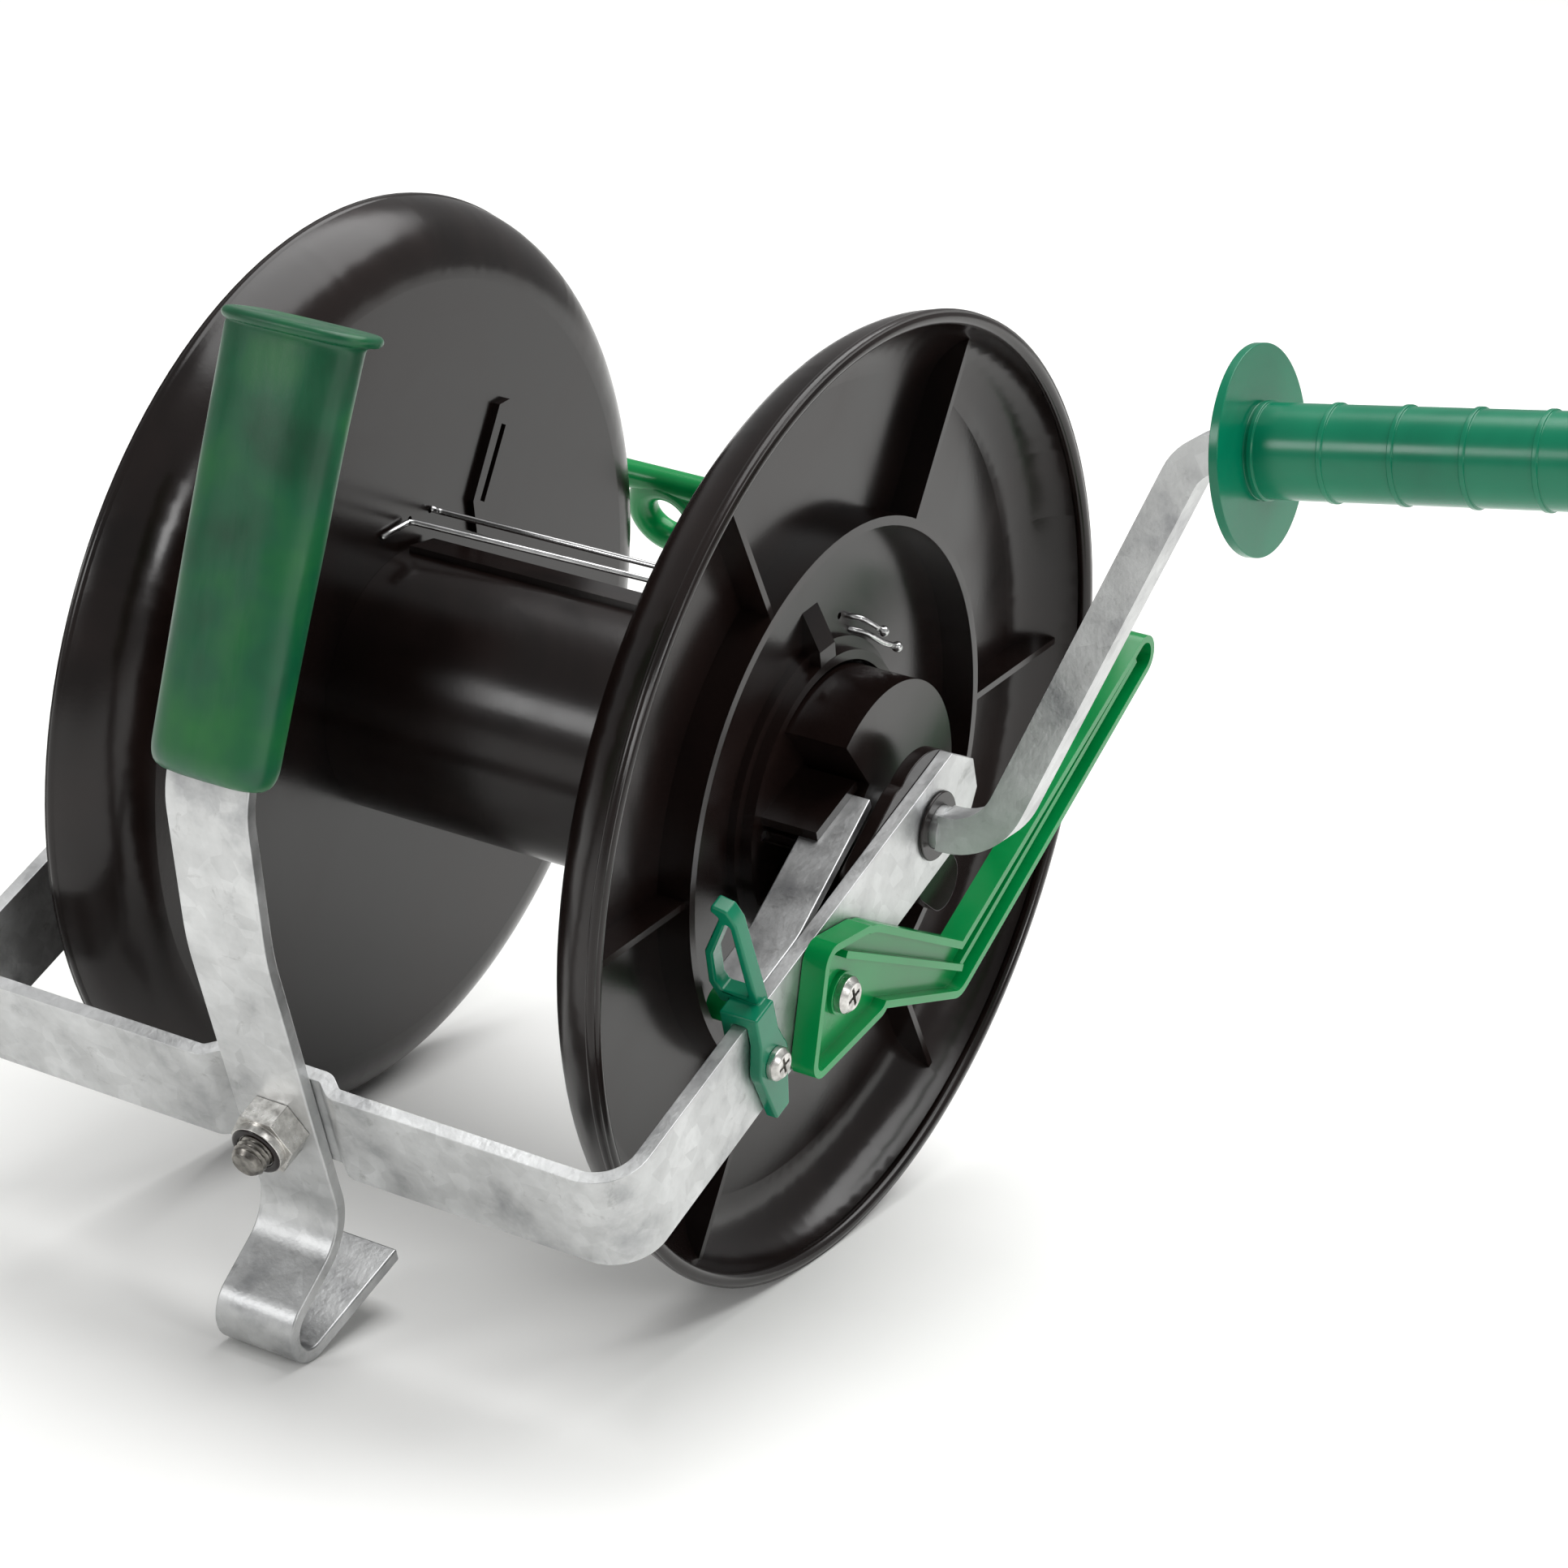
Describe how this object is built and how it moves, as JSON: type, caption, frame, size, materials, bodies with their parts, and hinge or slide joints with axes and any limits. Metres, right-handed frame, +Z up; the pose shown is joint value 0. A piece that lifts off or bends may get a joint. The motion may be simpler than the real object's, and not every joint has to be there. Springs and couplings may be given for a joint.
{
  "type": "geared fence-line hand reel",
  "caption": "Hand reel for fence line: black dished drum in a galvanised bar frame, green hand grip, geared crank, brake lever and fence hook",
  "frame": {"origin": "on the drum's axle, midway between the two flanges", "axes": "+X along the axle towards the crank, +Y away from the carrying handle towards the line guide, +Z up with the reel standing on its flanges and hook"},
  "size_m": [0.4309, 0.3575, 0.2926],
  "materials": {
    "galvanised_steel": "hot-dip galvanised flat bar and square bar, dull grey with a soft spangle",
    "zinc_hardware": "bright zinc-plated bolts, screws, nuts and washers",
    "steel_wire": "bright drawn steel wire",
    "black_plastic": "moulded black polypropylene with a satin skin",
    "green_vinyl": "soft dipped vinyl hand grip, satin green",
    "green_plastic": "moulded green plastic, semi-gloss",
    "teal_plastic": "moulded teal plastic, satin",
    "white_nylon": "natural nylon gears and bush"
  },
  "bodies": {
    "frame": {"frame_bar": "galvanised_steel", "handle_bar": "galvanised_steel", "hand_grip": "green_vinyl", "handle_bolt": "zinc_hardware", "handle_nut": "zinc_hardware", "torque_bracket": "galvanised_steel", "ring_gear": "white_nylon", "gear_cover": "black_plastic", "cover_screws": "zinc_hardware", "bearing_plate": "black_plastic", "spindle_bush": "black_plastic", "axle_bolt": "zinc_hardware", "axle_nut": "zinc_hardware", "axle_washers": "zinc_hardware", "line_clip": "teal_plastic", "clip_screw": "zinc_hardware", "clip_nut": "zinc_hardware", "line_guide": "green_plastic", "guide_screw": "zinc_hardware", "guide_nut": "zinc_hardware", "lever_screw": "zinc_hardware", "lever_nut": "zinc_hardware"},
    "drum": {"drum_core": "black_plastic", "left_flange": "black_plastic", "right_flange": "black_plastic", "hub_plate": "black_plastic", "sun_gear": "white_nylon", "tie_wires": "steel_wire", "flange_screws": "zinc_hardware", "axle_bush": "white_nylon"},
    "crank": {"crank_bar": "galvanised_steel", "planet_carrier": "galvanised_steel", "planet_pins": "zinc_hardware", "carrier_clip": "zinc_hardware", "grip_cap": "black_plastic"},
    "crank_grip": {"crank_grip": "teal_plastic"},
    "brake_lever": {"brake_lever": "green_plastic"},
    "planet_a": {"planet_a": "white_nylon"},
    "planet_b": {"planet_b": "white_nylon"},
    "planet_c": {"planet_c": "white_nylon"}
  },
  "joints": [
    {"name": "drum_spin", "type": "hinge", "parent": "frame", "child": "drum", "pos_m": [0, 0, 0], "axis": [1, 0, 0], "continuous": true},
    {"name": "crank_spin", "type": "hinge", "parent": "frame", "child": "crank", "pos_m": [0.1, 0, 0], "axis": [1, 0, 0], "continuous": true},
    {"name": "grip_spin", "type": "hinge", "parent": "crank", "child": "crank_grip", "pos_m": [0.24414, -0.00536, 0.13369], "axis": [0.9836, -0.0072, 0.1804], "continuous": true},
    {"name": "lever_swing", "type": "hinge", "parent": "frame", "child": "brake_lever", "pos_m": [0.112, -0.05424, -0.03044], "axis": [1, 0, 0], "range_deg": [-15, 20]},
    {"name": "planet_a_spin", "type": "hinge", "parent": "crank", "child": "planet_a", "pos_m": [0.0578, -0.0094, 0.02044], "axis": [1, 0, 0], "continuous": true},
    {"name": "planet_b_spin", "type": "hinge", "parent": "crank", "child": "planet_b", "pos_m": [0.0578, -0.013, -0.01836], "axis": [1, 0, 0], "continuous": true},
    {"name": "planet_c_spin", "type": "hinge", "parent": "crank", "child": "planet_c", "pos_m": [0.0578, 0.0224, -0.00208], "axis": [1, 0, 0], "continuous": true}
  ],
  "couplings": [
    {"joint": "crank_spin", "follows": "drum_spin", "ratio": 0.33333},
    {"joint": "planet_a_spin", "follows": "drum_spin", "ratio": -1.3333},
    {"joint": "planet_b_spin", "follows": "drum_spin", "ratio": -1.3333},
    {"joint": "planet_c_spin", "follows": "drum_spin", "ratio": -1.3333}
  ]
}
